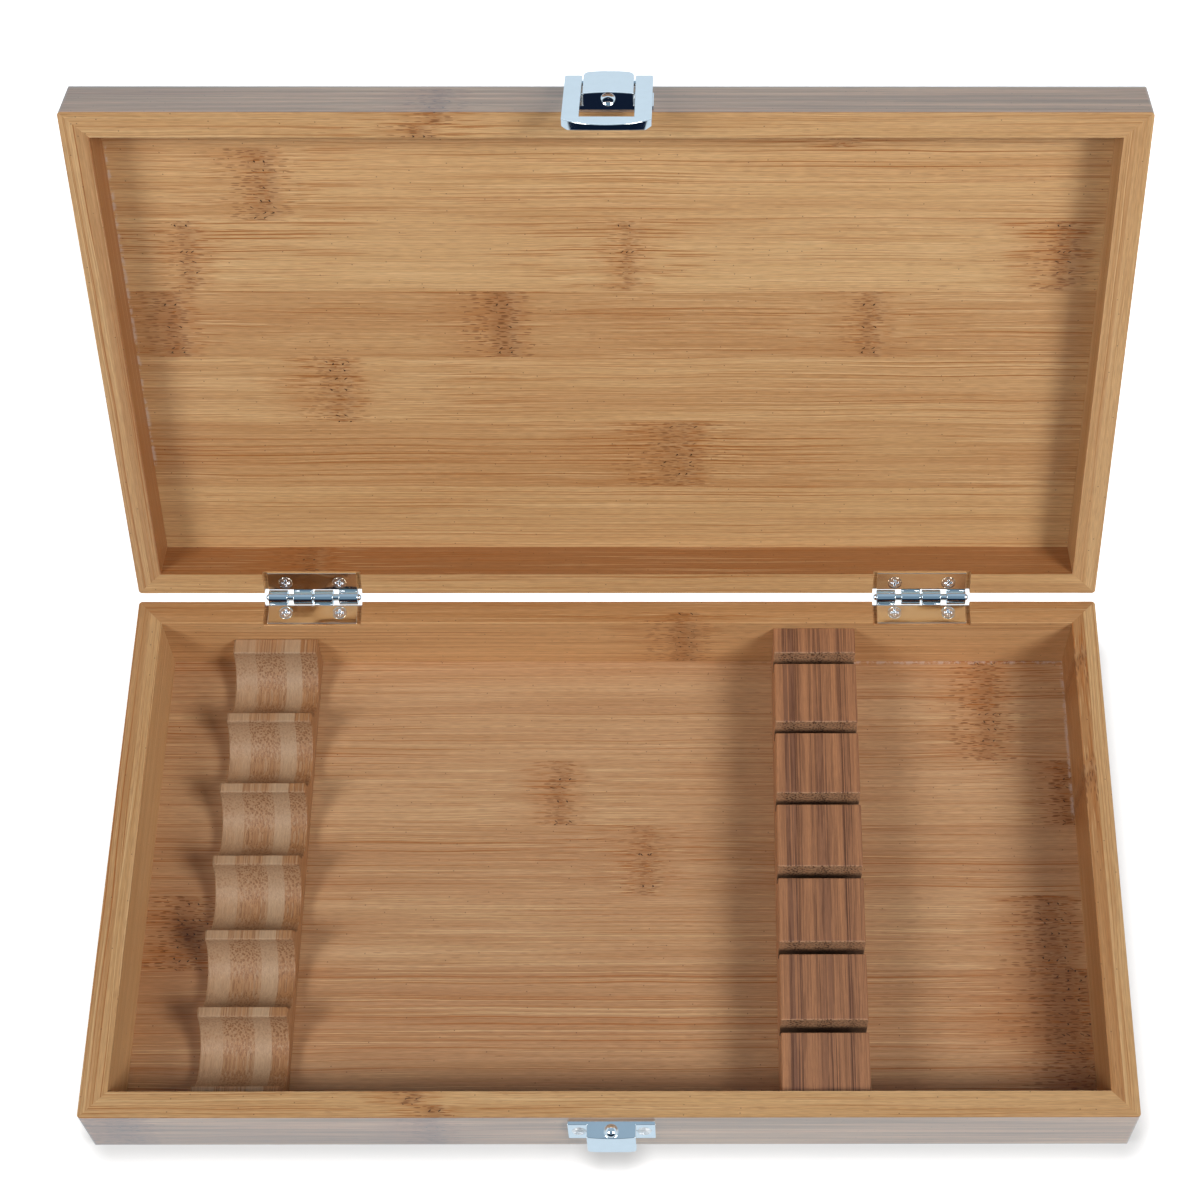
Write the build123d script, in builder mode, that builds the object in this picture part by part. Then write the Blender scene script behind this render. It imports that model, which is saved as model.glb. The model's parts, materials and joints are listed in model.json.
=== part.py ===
from build123d import *
from math import sqrt
import os

# Steak knife box: a shallow bamboo box with a hinged lid, two notched racks and a swing clasp.
# Millimetres. X runs to the right, Y to the back and Z up. The origin is the middle of the
# underside. The lid is modelled open, on its stop, and the clasp is swung a little way out.

# Box and lid
box_width = 270.0
box_depth = 151.0
wall = 7.0
corner_radius = 1.0
rim_ease = 0.6
base_height = 25.2
base_inside = 22.5
base_edge_radius = 4.6
lid_height = 16.7
lid_inside = 12.3
lid_edge_radius = 4.2
rim_gap = 0.15
open_angle = 111.4

# Racks, standing on the floor between the front and rear walls
handle_rack_left = -108.9
handle_rack_width = 23.6
handle_rack_drop = 8.9
channel_radius = 9.4
blade_rack_left = 44.0
blade_rack_width = 23.0
blade_rack_drop = 2.7
slot_width = 3.4
slot_depth = 12.0
slot_shift = 4.4
knife_pitch = 21.76
knife_count = 6
rack_edge_ease = 0.35

# Butt hinges, let into the rear rims
hinge_offset = 85.8
hinge_back = 1.4
leaf_length = 25.1
leaf_thickness = 1.1
leaf_inner_gap = 0.1
leaf_clearance = 0.45
mortise_length = 27.5
mortise_depth = 1.3
mortise_width = 3 * wall
knuckle_radius = 2.05
knuckle_length = 5.3
knuckle_gap = 1.7
barrel_room = 0.4
hinge_pin_radius = 0.95
hinge_pin_length = 27.0
pin_clearance = 0.05
leaf_screw_spacing = 15.1

# Screws
screw_head_radius = 1.88
screw_shank_radius = 0.9
screw_point = 1.6
leaf_screw_length = 9.0
plate_screw_length = 5.4
plate_screw_dome = 0.6
driver_slot_width = 0.55
driver_slot_length = 2.2
driver_slot_depth = 0.45
countersink_taper = 45
screw_point_taper = 25
screw_dome_taper = 40

# Catch plate and latch plate: the same hooded plate, one hanging down and one standing up
plate_width = 22.4
plate_thickness = 1.4
hood_width = 12.5
hood_reach = 5.1
hood_crown = 0.35
hood_shell = 1.0
hood_cheek = 0.85
hood_corner = 1.5
plate_screw_spacing = 16.7
hardware_x = 0.5
catch_drop = 1.5
catch_hood_length = 11.7
catch_tab_height = 10.6
catch_screw_drop = 5.0
catch_curl = 1.3
catch_curl_back = 2.6
dome_radius = 1.8
dome_height = 1.4
dome_reach = 3.1
dimple_depth = 0.65
latch_drop = 0.6
latch_hood_length = 11.3
latch_tab_height = 7.0
latch_screw_drop = 3.7

# Clasp: a channel-edged frame on a pin through the latch plate's hood
pivot_drop = 10.5
pivot_reach = 2.5
clasp_pin_radius = 0.8
clasp_pin_length = 16.5
clasp_width = 21.9
clasp_window = 13.3
clasp_sheet = 0.8
clasp_front = 3.8
clasp_top = 12.25
clasp_window_end = 13.55
clasp_side_end = 15.2
clasp_nose = 18.7
clasp_skirt_back = 2.4
clasp_lip_centre = 2.25
clasp_lip_side = 1.25
clasp_lip_corner = 1.9
clasp_lip_turn = 9.4
clasp_lug_radius = 1.3
clasp_lug_thickness = 1.6
clasp_rest_swing = 5.2

# Places worked out from the dimensions above
half_width = box_width / 2
half_depth = box_depth / 2
base_rim = base_height
floor_top = base_height - base_inside
lid_rim = base_rim + rim_gap
lid_joint = lid_rim + lid_inside
lid_top = lid_rim + lid_height
hinge_y = half_depth + hinge_back
hinge_z = base_rim + rim_gap / 2
pivot_y = -(half_depth + pivot_reach)
pivot_z = lid_rim + pivot_drop

lid_open = Pos(0, hinge_y, hinge_z) * Rot(-open_angle, 0, 0) * Pos(0, -hinge_y, -hinge_z)
clasp_open = Pos(0, pivot_y, pivot_z) * Rot(-clasp_rest_swing, 0, 0) * Pos(0, -pivot_y, -pivot_z)

os.makedirs("parts", exist_ok=True)


def fixed(plane):
    """A plane of the base stays where it is."""
    return plane


def carried(plane):
    """A plane of the closed lid, carried round to the open lid."""
    return Plane(lid_open * plane.location)


def swung(plane):
    """A plane of the closed lid's latched clasp, swung to where the clasp rests."""
    return Plane(lid_open * clasp_open * plane.location)


def keep(piece, label):
    """Label a finished piece and write it out."""
    piece.label = label
    export_step(piece, f"parts/{label}.step")


def case_outline(place, rim, far, edge_radius):
    """The outline that a mitred frame and its panel share, with the far edge rounded over."""
    low = min(rim, far)
    height = abs(far - rim)
    with BuildPart() as outline:
        with BuildSketch(place(Plane.XY.offset(low))):
            RectangleRounded(box_width, box_depth, corner_radius)
        extrude(amount=height)
        for plane, width, length in (
            (Plane.YZ.offset(-half_width), box_depth, box_width),
            (Plane.XZ.offset(-half_depth), box_width, box_depth),
        ):
            with BuildSketch(place(plane)):
                with Locations((0, low + height / 2)):
                    Rectangle(width, height)
                levels = vertices().group_by(Axis.Y)
                far_level = levels[0] if far < rim else levels[-1]
                rim_level = levels[-1] if far < rim else levels[0]
                fillet(far_level, edge_radius)
                fillet(rim_level, rim_ease)
            extrude(amount=length, mode=Mode.INTERSECT)
    return outline.part


def mitred_wall(outline, place, low, high, side):
    """One wall of a mitred frame, cut from the outline between two levels."""
    outer = {"front": (0, -1), "rear": (0, 1), "left": (-1, 0), "right": (1, 0)}[side]
    inner_x, inner_y = half_width - wall, half_depth - wall
    across = (outer[1], -outer[0])
    ends = [(outer[0] + across[0], outer[1] + across[1]), (outer[0] - across[0], outer[1] - across[1])]
    corners = [(ends[0][0] * half_width, ends[0][1] * half_depth)]
    corners.append((ends[1][0] * half_width, ends[1][1] * half_depth))
    corners.append((ends[1][0] * inner_x, ends[1][1] * inner_y))
    corners.append((ends[0][0] * inner_x, ends[0][1] * inner_y))
    with BuildPart() as piece:
        add(outline)
        with BuildSketch(place(Plane.XY.offset(low))):
            with BuildLine():
                Polyline(*corners, close=True)
            make_face()
        extrude(amount=high - low, mode=Mode.INTERSECT)
    return piece.part


def panel(outline, place, low, high):
    """The floor or top panel, as wide as the box, cut from the outline between two levels."""
    with BuildPart() as piece:
        add(outline)
        with BuildSketch(place(Plane.XY.offset(low))):
            Rectangle(box_width, box_depth)
        extrude(amount=high - low, mode=Mode.INTERSECT)
    return piece.part


def hinge_room(place, rim, into):
    """Mortises, barrel grooves and pilot holes for both hinges, to be cut from a rear wall."""
    with BuildPart() as room:
        for side in (-1, 1):
            start = side * hinge_offset - mortise_length / 2
            with BuildSketch(place(Plane.YZ.offset(start))):
                with Locations((half_depth, rim)):
                    Rectangle(mortise_width, 2 * mortise_depth)
                with Locations((hinge_y, hinge_z)):
                    Circle(knuckle_radius + barrel_room)
            extrude(amount=mortise_length)
        with BuildSketch(place(Plane.XY.offset(rim + into * mortise_depth))):
            with Locations(*leaf_screw_spots()):
                Circle(screw_shank_radius)
        extrude(amount=into * leaf_screw_length)
    return room.part


def leaf_screw_spots(sides=(-1, 1), flip=1):
    """Centres of the hinge screws, two to a leaf, along the middle of the rear rim."""
    ends = (-leaf_screw_spacing / 2, leaf_screw_spacing / 2)
    return [(side * hinge_offset + end, flip * (half_depth - wall / 2)) for side in sides for end in ends]


def leaf_levels(rim, into):
    """The levels of a leaf's back, against the mortise floor, and of its open face."""
    back = rim + into * mortise_depth
    return back, back - into * leaf_thickness


def hinge_leaf(place, rim, into, side, starts, bore_radius):
    """A leaf with its two knuckles, which begin at the given distances from the leaf's left end."""
    back, face = leaf_levels(rim, into)
    left = side * hinge_offset - leaf_length / 2
    plate_start = half_depth - wall + leaf_inner_gap
    plate_end = hinge_y - knuckle_radius - leaf_clearance
    with BuildPart() as leaf:
        with BuildSketch(place(Plane.XY.offset(back))):
            with Locations((side * hinge_offset, (plate_start + plate_end) / 2)):
                Rectangle(leaf_length, plate_end - plate_start)
        extrude(amount=face - back)
        for start in starts:
            with BuildSketch(place(Plane.YZ.offset(left + start))):
                with Locations((hinge_y, hinge_z)):
                    Circle(knuckle_radius)
                with Locations(((plate_end + hinge_y) / 2, (back + face) / 2)):
                    Rectangle(hinge_y - plate_end, leaf_thickness)
            extrude(amount=knuckle_length)
        with BuildSketch(place(Plane.YZ.offset(left))):
            with Locations((hinge_y, hinge_z)):
                Circle(bore_radius)
        extrude(amount=leaf_length, mode=Mode.SUBTRACT)
        with BuildSketch(place(Plane.XY.offset(face))):
            with Locations(*leaf_screw_spots((side,))):
                Circle(screw_head_radius)
        extrude(amount=back - face, taper=countersink_taper, mode=Mode.SUBTRACT)
        with BuildSketch(place(Plane.XY.offset(face))):
            with Locations(*leaf_screw_spots((side,))):
                Circle(screw_shank_radius)
        extrude(amount=back - face, mode=Mode.SUBTRACT)
    return leaf.part


def hinge_pin(side):
    """A pin with domed ends that stand out of the knuckles."""
    straight = hinge_pin_length - 2 * hinge_pin_radius
    with BuildPart() as pin:
        with BuildSketch(Plane.YZ.offset(side * hinge_offset - straight / 2)):
            with Locations((hinge_y, hinge_z)):
                Circle(hinge_pin_radius)
        extrude(amount=straight)
        with Locations(*[(side * hinge_offset + end * straight / 2, hinge_y, hinge_z) for end in (-1, 1)]):
            Sphere(hinge_pin_radius)
    return pin.part


def screws(face, spots, length, dome=0.0):
    """Wood screws with cross-slotted heads, driven down into a plane that faces out of the plate."""
    head_height = screw_head_radius - screw_shank_radius
    shank = length - head_height - screw_point
    with BuildPart() as group:
        with BuildSketch(face):
            with Locations(*spots):
                Circle(screw_head_radius)
        extrude(amount=-head_height, taper=countersink_taper)
        with BuildSketch(face.offset(-head_height)):
            with Locations(*spots):
                Circle(screw_shank_radius)
        extrude(amount=-shank)
        with BuildSketch(face.offset(-head_height - shank)):
            with Locations(*spots):
                Circle(screw_shank_radius)
        extrude(amount=-screw_point, taper=screw_point_taper)
        if dome:
            with BuildSketch(face):
                with Locations(*spots):
                    Circle(screw_head_radius)
            extrude(amount=dome, taper=screw_dome_taper)
        with BuildSketch(face.offset(dome)):
            with Locations(*spots):
                Rectangle(driver_slot_length, driver_slot_width)
                Rectangle(driver_slot_width, driver_slot_length)
        extrude(amount=-driver_slot_depth, mode=Mode.SUBTRACT)
    return group.part


def plate_screw_spots(level):
    """Centres of the two screws in a hooded plate's side tabs."""
    return [(hardware_x + end * plate_screw_spacing / 2, level) for end in (-1, 1)]


def dome_cap(place, reach, shelf, radius, rise):
    """A round cap standing up from a shelf: a dome, or the hollow of a dimple to be cut out."""
    spot = place(Plane((hardware_x, -(half_depth + reach), shelf), x_dir=(1, 0, 0), z_dir=(0, -1, 0)))
    middle = radius / 2
    ball = (radius**2 + rise**2) / (2 * rise)
    middle_rise = sqrt(ball**2 - middle**2) - (ball - rise)
    with BuildPart() as cap:
        with BuildSketch(spot):
            with BuildLine():
                Line((0, 0), (radius, 0))
                ThreePointArc((radius, 0), (middle, middle_rise), (0, rise))
                Line((0, rise), (0, 0))
            make_face()
        revolve(axis=Axis(spot.origin, spot.y_dir))
    return cap.part


def hooded_plate(place, shelf, away, hood_length, tab_height, curl_back):
    """A screwed plate with a hood: a shelf, a crowned front and two cheeks, open at the far end.

    The shelf lies at the given level and the hood runs away from it, up or down. A curled hood
    turns back towards the plate at its end.
    """
    end = shelf + away * hood_length
    tab_end = shelf + away * tab_height
    low, high = min(shelf, end), max(shelf, end)
    wall_face = -half_depth
    front = wall_face - hood_reach
    with BuildPart() as plate:
        with BuildSketch(place(Plane.YZ.offset(hardware_x - hood_width / 2))):
            with BuildLine():
                Polyline((wall_face, end), (wall_face, shelf), (front, shelf), (front, end - away * catch_curl))
                if curl_back:
                    JernArc((front, end - away * catch_curl), (0, away), catch_curl, -away * 90)
                    Line((front + catch_curl, end), (wall_face, end))
                else:
                    Polyline((front, end - away * catch_curl), (front, end), (wall_face, end))
            make_face()
        extrude(amount=hood_width)
        with BuildSketch(place(Plane.XY.offset(low))):
            with BuildLine():
                side_y = front + hood_crown
                left, right = hardware_x - hood_width / 2, hardware_x + hood_width / 2
                Polyline((left, side_y), (left, wall_face), (right, wall_face), (right, side_y))
                ThreePointArc((right, side_y), (hardware_x, front), (left, side_y))
            make_face()
        extrude(amount=high - low, mode=Mode.INTERSECT)
        with BuildSketch(place(Plane.XZ.offset(half_depth))):
            with Locations((hardware_x, (low + high) / 2)):
                Rectangle(hood_width, hood_length)
            levels = vertices().group_by(Axis.Y)
            fillet(levels[0] if away < 0 else levels[-1], hood_corner)
        extrude(amount=2 * hood_reach, mode=Mode.INTERSECT)
        with BuildSketch(place(Plane.YZ.offset(hardware_x - hood_width / 2 + hood_cheek))):
            with BuildLine():
                inner = front + hood_shell
                back = wall_face - plate_thickness
                ceiling = shelf + away * hood_shell
                if curl_back:
                    lip = end - away * hood_shell
                    Polyline(
                        (inner, ceiling),
                        (inner, lip),
                        (wall_face - curl_back, lip),
                        (wall_face - curl_back, end),
                        (back, end),
                        (back, ceiling),
                        close=True,
                    )
                else:
                    Polyline((inner, ceiling), (inner, end), (back, end), (back, ceiling), close=True)
            make_face()
        extrude(amount=hood_width - 2 * hood_cheek, mode=Mode.SUBTRACT)
        with BuildSketch(place(Plane.XZ.offset(half_depth))):
            with Locations((hardware_x, (shelf + tab_end) / 2)):
                Rectangle(plate_width, tab_height)
        extrude(amount=plate_thickness)
    return plate.part


def plate_screw_holes(place, level):
    """Countersunk holes through a hooded plate's tabs and on into the wood behind."""
    face = place(Plane.XZ.offset(half_depth + plate_thickness))
    with BuildPart() as holes:
        with BuildSketch(face):
            with Locations(*plate_screw_spots(level)):
                Circle(screw_head_radius)
        extrude(amount=-(screw_head_radius - screw_shank_radius), taper=countersink_taper)
        with BuildSketch(face):
            with Locations(*plate_screw_spots(level)):
                Circle(screw_shank_radius)
        extrude(amount=-plate_screw_length)
    return holes.part


# Base: four mitred walls glued on a floor as wide as the box
catch_shelf = base_rim - catch_drop
catch_screw_level = catch_shelf - catch_screw_drop
base_outline = case_outline(fixed, base_rim, 0.0, base_edge_radius)

with BuildPart() as base_floor_panel:
    add(panel(base_outline, fixed, 0.0, floor_top))
keep(base_floor_panel.part, "base_floor_panel")

with BuildPart() as base_front_wall:
    add(mitred_wall(base_outline, fixed, floor_top, base_rim, "front"))
    add(plate_screw_holes(fixed, catch_screw_level), mode=Mode.SUBTRACT)
keep(base_front_wall.part, "base_front_wall")

with BuildPart() as base_rear_wall:
    add(mitred_wall(base_outline, fixed, floor_top, base_rim, "rear"))
    add(hinge_room(fixed, base_rim, -1), mode=Mode.SUBTRACT)
keep(base_rear_wall.part, "base_rear_wall")

for side in ("left", "right"):
    with BuildPart() as base_side_wall:
        add(mitred_wall(base_outline, fixed, floor_top, base_rim, side))
    keep(base_side_wall.part, f"base_{side}_wall")

# Racks: the handles lie in half-round channels and the blades stand in slots
rack_length = box_depth - 2 * wall
knife_rows = [(row - (knife_count - 1) / 2) * knife_pitch for row in range(knife_count)]

with BuildPart() as handle_rack:
    handle_rack_height = base_inside - handle_rack_drop
    with BuildSketch(Plane.YZ.offset(handle_rack_left)):
        with Locations((0, floor_top + handle_rack_height / 2)):
            Rectangle(rack_length, handle_rack_height)
        with Locations(*[(row, floor_top + handle_rack_height) for row in knife_rows]):
            Circle(channel_radius, mode=Mode.SUBTRACT)
    extrude(amount=handle_rack_width)
    chamfer(handle_rack.faces().group_by(Axis.Z)[-1].edges().filter_by(Axis.Y), rack_edge_ease)
keep(handle_rack.part, "handle_rack")

with BuildPart() as blade_rack:
    blade_rack_height = base_inside - blade_rack_drop
    blade_rack_top = floor_top + blade_rack_height
    with BuildSketch(Plane.YZ.offset(blade_rack_left)):
        with Locations((0, floor_top + blade_rack_height / 2)):
            Rectangle(rack_length, blade_rack_height)
        with Locations(*[(row + slot_shift, blade_rack_top) for row in knife_rows]):
            Rectangle(slot_width, 2 * slot_depth, mode=Mode.SUBTRACT)
    extrude(amount=blade_rack_width)
    chamfer(blade_rack.faces().group_by(Axis.Z)[-1].edges().filter_by(Axis.Y), rack_edge_ease)
keep(blade_rack.part, "blade_rack")

# Lid: the same frame with a thicker panel, upside down on the base when it is closed
latch_shelf = lid_rim + latch_drop
latch_screw_level = latch_shelf + latch_screw_drop
lid_outline = case_outline(carried, lid_rim, lid_top, lid_edge_radius)

with BuildPart() as lid_top_panel:
    add(panel(lid_outline, carried, lid_joint, lid_top))
keep(lid_top_panel.part, "lid_top_panel")

with BuildPart() as lid_front_wall:
    add(mitred_wall(lid_outline, carried, lid_rim, lid_joint, "front"))
    add(plate_screw_holes(carried, latch_screw_level), mode=Mode.SUBTRACT)
keep(lid_front_wall.part, "lid_front_wall")

with BuildPart() as lid_rear_wall:
    add(mitred_wall(lid_outline, carried, lid_rim, lid_joint, "rear"))
    add(hinge_room(carried, lid_rim, 1), mode=Mode.SUBTRACT)
keep(lid_rear_wall.part, "lid_rear_wall")

for side in ("left", "right"):
    with BuildPart() as lid_side_wall:
        add(mitred_wall(lid_outline, carried, lid_rim, lid_joint, side))
    keep(lid_side_wall.part, f"lid_{side}_wall")

# Hinges: the base leaf holds the pin, and the lid leaf turns on it
second_start = knuckle_length + knuckle_gap
last_start = leaf_length - knuckle_length
third_start = last_start - knuckle_gap - knuckle_length
base_leaf_face = leaf_levels(base_rim, -1)[1]
lid_leaf_face = leaf_levels(lid_rim, 1)[1]
lid_screw_face = carried(Plane((0, 0, lid_leaf_face), x_dir=(1, 0, 0), z_dir=(0, 0, -1)))

for name, side in (("left", -1), ("right", 1)):
    with BuildPart() as base_leaf:
        add(hinge_leaf(fixed, base_rim, -1, side, (0, third_start), hinge_pin_radius))
    keep(base_leaf.part, f"{name}_hinge_base_leaf")

    with BuildPart() as lid_leaf:
        lid_starts = (second_start, last_start)
        add(hinge_leaf(carried, lid_rim, 1, side, lid_starts, hinge_pin_radius + pin_clearance))
    keep(lid_leaf.part, f"{name}_hinge_lid_leaf")

    with BuildPart() as pin:
        add(hinge_pin(side))
    keep(pin.part, f"{name}_hinge_pin")

    with BuildPart() as base_screws:
        add(screws(Plane.XY.offset(base_leaf_face), leaf_screw_spots((side,)), leaf_screw_length))
    keep(base_screws.part, f"{name}_hinge_base_screws")

    with BuildPart() as lid_screws:
        add(screws(lid_screw_face, leaf_screw_spots((side,), flip=-1), leaf_screw_length))
    keep(lid_screws.part, f"{name}_hinge_lid_screws")

# Catch on the base: its hood hangs down, with a dome on the shelf that centres the lid
with BuildPart() as catch_plate:
    add(hooded_plate(fixed, catch_shelf, -1, catch_hood_length, catch_tab_height, catch_curl_back))
    add(plate_screw_holes(fixed, catch_screw_level), mode=Mode.SUBTRACT)
    add(dome_cap(fixed, dome_reach, catch_shelf, dome_radius, dome_height))
keep(catch_plate.part, "catch_plate")

with BuildPart() as catch_screws:
    catch_face = Plane.XZ.offset(half_depth + plate_thickness)
    add(screws(catch_face, plate_screw_spots(catch_screw_level), plate_screw_length, plate_screw_dome))
keep(catch_screws.part, "catch_screws")

# Latch plate on the lid: its hood stands up, with a dimple over the dome and holes for the pin
with BuildPart() as latch_plate:
    add(hooded_plate(carried, latch_shelf, 1, latch_hood_length, latch_tab_height, None))
    add(plate_screw_holes(carried, latch_screw_level), mode=Mode.SUBTRACT)
    add(dome_cap(carried, dome_reach, latch_shelf, dome_radius, dimple_depth), mode=Mode.SUBTRACT)
    with BuildSketch(carried(Plane.YZ.offset(hardware_x - hood_width / 2))):
        with Locations((pivot_y, pivot_z)):
            Circle(clasp_pin_radius)
    extrude(amount=hood_width, mode=Mode.SUBTRACT)
keep(latch_plate.part, "latch_plate")

with BuildPart() as latch_plate_screws:
    latch_face = carried(Plane.XZ.offset(half_depth + plate_thickness))
    add(screws(latch_face, plate_screw_spots(latch_screw_level), plate_screw_length, plate_screw_dome))
keep(latch_plate_screws.part, "latch_plate_screws")

with BuildPart() as latch_pivot_pin:
    with BuildSketch(carried(Plane.YZ.offset(hardware_x - clasp_pin_length / 2))):
        with Locations((pivot_y, pivot_z)):
            Circle(clasp_pin_radius)
    extrude(amount=clasp_pin_length)
keep(latch_pivot_pin.part, "latch_pivot_pin")

# Clasp frame: distances past the lid's rim run down, and reaches run out from the lid's front
def past_rim(distance):
    """Level of a point that lies a distance past the lid's rim."""
    return lid_rim - distance


def clasp_outline(inset=0.0):
    """Outline of the frame seen from the front, optionally drawn in by a sheet's thickness."""
    half = clasp_width / 2 - inset
    top = past_rim(-clasp_top)
    side = past_rim(clasp_side_end - inset)
    nose = past_rim(clasp_nose - inset)
    with BuildSketch() as outline:
        with BuildLine():
            Polyline((hardware_x - half, side), (hardware_x - half, top), (hardware_x + half, top),
                     (hardware_x + half, side))
            ThreePointArc((hardware_x + half, side), (hardware_x, nose), (hardware_x - half, side))
        make_face()
    return outline.sketch


with BuildPart() as clasp_frame:
    reach = half_depth + clasp_front - clasp_sheet
    with BuildSketch(swung(Plane.XZ.offset(half_depth + clasp_lip_side))):
        add(clasp_outline())
        add(clasp_outline(clasp_sheet), mode=Mode.SUBTRACT)
        with Locations((hardware_x, past_rim(-clasp_top))):
            Rectangle(clasp_width - 2 * clasp_sheet, 2 * clasp_sheet, mode=Mode.SUBTRACT)
    extrude(amount=clasp_front - clasp_lip_side)
    with BuildSketch(swung(Plane.YZ.offset(hardware_x - clasp_width))):
        with BuildLine():
            behind = -half_depth
            shallow = behind - clasp_skirt_back
            Polyline(
                (behind, past_rim(-clasp_top)),
                (shallow, past_rim(-clasp_top)),
                (shallow, past_rim(clasp_window_end)),
                (behind - clasp_lip_side, past_rim(clasp_side_end)),
                (behind, past_rim(clasp_side_end)),
                close=True,
            )
        make_face()
    extrude(amount=2 * clasp_width, mode=Mode.SUBTRACT)
    with BuildSketch(swung(Plane.XY.offset(past_rim(clasp_nose)))):
        with BuildLine():
            turn, corner = clasp_lip_turn, clasp_width / 2
            turn_y, corner_y = -(half_depth + clasp_lip_side), -(half_depth + clasp_lip_corner)
            Polyline(
                (hardware_x - turn, turn_y),
                (hardware_x - corner, corner_y),
                (hardware_x - corner, -half_depth),
                (hardware_x + corner, -half_depth),
                (hardware_x + corner, corner_y),
                (hardware_x + turn, turn_y),
            )
            ThreePointArc((hardware_x + turn, turn_y), (hardware_x, -(half_depth + clasp_lip_centre)),
                          (hardware_x - turn, turn_y))
        make_face()
    extrude(amount=clasp_nose - clasp_window_end + clasp_sheet, mode=Mode.SUBTRACT)
    with BuildSketch(swung(Plane.XZ.offset(reach))):
        add(clasp_outline())
        window_height = clasp_window_end + clasp_top
        with Locations((hardware_x, past_rim(clasp_window_end) + window_height / 2)):
            Rectangle(clasp_window, window_height, mode=Mode.SUBTRACT)
    extrude(amount=clasp_sheet)
    for lug_start in (-clasp_window / 2 - clasp_lug_thickness, clasp_window / 2):
        with BuildSketch(swung(Plane.YZ.offset(hardware_x + lug_start))):
            with Locations((pivot_y, pivot_z)):
                Circle(clasp_lug_radius)
        extrude(amount=clasp_lug_thickness)
    with BuildSketch(swung(Plane.YZ.offset(hardware_x - clasp_pin_length / 2))):
        with Locations((pivot_y, pivot_z)):
            Circle(clasp_pin_radius + pin_clearance)
    extrude(amount=clasp_pin_length, mode=Mode.SUBTRACT)
keep(clasp_frame.part, "clasp_frame")
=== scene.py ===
import json
import math

import bmesh
import bpy
from mathutils import Matrix, Vector

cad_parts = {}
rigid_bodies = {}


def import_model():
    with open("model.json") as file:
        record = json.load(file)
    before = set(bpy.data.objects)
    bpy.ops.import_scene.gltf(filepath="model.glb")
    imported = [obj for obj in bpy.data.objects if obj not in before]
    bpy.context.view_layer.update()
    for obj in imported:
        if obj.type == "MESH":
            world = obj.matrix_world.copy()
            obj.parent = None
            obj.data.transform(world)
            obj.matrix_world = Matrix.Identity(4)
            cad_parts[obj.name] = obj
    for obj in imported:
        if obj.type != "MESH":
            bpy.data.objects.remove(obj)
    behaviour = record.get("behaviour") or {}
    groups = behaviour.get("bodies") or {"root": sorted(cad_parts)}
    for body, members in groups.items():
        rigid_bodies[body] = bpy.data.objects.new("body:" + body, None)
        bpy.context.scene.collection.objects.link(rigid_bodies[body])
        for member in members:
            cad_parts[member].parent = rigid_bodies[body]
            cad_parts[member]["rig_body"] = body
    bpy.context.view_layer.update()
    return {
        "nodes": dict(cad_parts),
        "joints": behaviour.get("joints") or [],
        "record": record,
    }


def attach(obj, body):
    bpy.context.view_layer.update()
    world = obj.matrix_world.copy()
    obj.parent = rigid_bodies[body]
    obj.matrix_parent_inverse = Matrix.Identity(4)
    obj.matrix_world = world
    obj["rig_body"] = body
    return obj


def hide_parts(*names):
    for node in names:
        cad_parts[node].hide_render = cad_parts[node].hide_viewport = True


# Steak knife box: bamboo base and lid, two racks, butt hinges and a swing clasp. The scene is in metres, as
# the frame is, and notes say what is in millimetres

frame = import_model()
nodes = frame["nodes"]
joints = {joint["name"]: joint for joint in frame["joints"]}
print("frame loaded:", len(nodes), "nodes")

scene = bpy.context.scene
scene.view_settings.view_transform = "Standard"

toMillimetres = 1000.0
white = (1.0, 1.0, 1.0, 1.0)
hingePoint = Vector(joints["lid_hinge"]["pos_m"])
lidAngle = math.radians(joints["lid_hinge"]["range_deg"][1])
pivotPoint = Vector(joints["clasp_pivot"]["pos_m"])

# From the shut lid to the open one, and back
fromHinge, toHinge = Matrix.Translation(-hingePoint), Matrix.Translation(hingePoint)
openLid = toHinge @ Matrix.Rotation(-lidAngle, 4, "X") @ fromHinge
shutLid = openLid.inverted()


# Small helpers for shader trees
def feed(tree, value, socket):
    if isinstance(value, bpy.types.NodeSocket):
        tree.links.new(value, socket)
    elif value is not None:
        socket.default_value = value


def maths(tree, operation, first, second=None, third=None, clamp=False):
    node = tree.nodes.new("ShaderNodeMath")
    node.operation = operation
    node.use_clamp = clamp
    for value, socket in zip((first, second, third), node.inputs):
        feed(tree, value, socket)
    return node.outputs[0]


def times(tree, first, second):
    return maths(tree, "MULTIPLY", first, second)


def aboutNought(tree, value, width):
    # A value from 0 to 1 is spread over a width, half of it below nought
    return maths(tree, "MULTIPLY_ADD", value, width, -width / 2)


def outside(tree, value, middle, half):
    # How far a value lies outside a stretch
    away = maths(tree, "ABSOLUTE", maths(tree, "SUBTRACT", value, middle))
    return maths(tree, "MAXIMUM", maths(tree, "SUBTRACT", away, half), 0.0)


def between(tree, value, start, end, low=0.0, high=1.0):
    node = tree.nodes.new("ShaderNodeMapRange")
    node.interpolation_type = "SMOOTHSTEP"
    for number, socket in zip((value, start, end, low, high), node.inputs):
        feed(tree, number, socket)
    return node.outputs[0]


def vectorMaths(tree, operation, first, second=None):
    node = tree.nodes.new("ShaderNodeVectorMath")
    node.operation = operation
    for value, socket in zip((first, second), node.inputs):
        feed(tree, value, socket)
    return node.outputs["Value"] if operation in ("LENGTH", "DOT_PRODUCT") else node.outputs[0]


def stretch(tree, vector, factors):
    return vectorMaths(tree, "MULTIPLY", vector, factors)


def separate(tree, vector):
    node = tree.nodes.new("ShaderNodeSeparateXYZ")
    feed(tree, vector, node.inputs[0])
    return node.outputs[0], node.outputs[1], node.outputs[2]


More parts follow.
